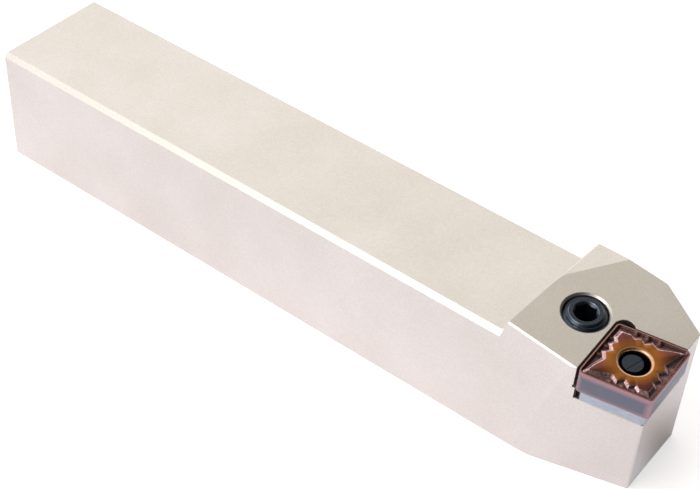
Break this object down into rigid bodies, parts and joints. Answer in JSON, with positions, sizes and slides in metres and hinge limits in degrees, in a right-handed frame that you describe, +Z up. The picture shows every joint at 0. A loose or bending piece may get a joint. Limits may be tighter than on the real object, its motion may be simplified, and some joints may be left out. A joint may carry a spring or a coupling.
{
  "type": "turning tool holder",
  "caption": "Left-hand lever-lock turning tool holder: square shank with raised tilted head, rhombic carbide insert on a shim, clamped through its hole by a screw-driven lever.",
  "frame": {"origin": "middle of the shank's base face", "axes": "+X along the shank towards the cutting corner, +Z up, +Y towards the reference side face"},
  "size_m": [0.1499, 0.0251, 0.0292],
  "materials": {
    "nickel_plated_steel": "satin nickel plate over a fine blasted surface",
    "coated_carbide": "bronze-brown hard coating on cemented carbide, darker and rosier at the edges",
    "ground_carbide": "ground bare cemented carbide",
    "black_oxide_steel": "oiled black oxide",
    "spring_steel": "plain spring steel"
  },
  "bodies": {
    "holder": {"holder_body": "nickel_plated_steel", "shim": "ground_carbide", "shim_pin": "spring_steel"},
    "screw": {"clamp_screw": "black_oxide_steel"},
    "lever": {"lever": "black_oxide_steel"},
    "insert": {"insert": "coated_carbide"}
  },
  "joints": [
    {"name": "screw_turn", "type": "hinge", "parent": "holder", "child": "screw", "pos_m": [0.07035, -0.00198, 0.02795], "axis": [0.1273, -0.0735, 0.9891], "range_deg": [0, 240]},
    {"name": "lever_tilt", "type": "hinge", "parent": "holder", "child": "lever", "pos_m": [0.0801, -0.00366, 0.01266], "axis": [0.233, 0.9716, 0.0422], "range_deg": [0, 3.8]},
    {"name": "insert_lift", "type": "slide", "parent": "holder", "child": "insert", "axis": [0.1273, -0.0735, 0.9891], "range_m": [0, 0.012]}
  ],
  "couplings": [
    {"joint": "lever_tilt", "follows": "screw_turn", "ratio": 0.015833}
  ]
}
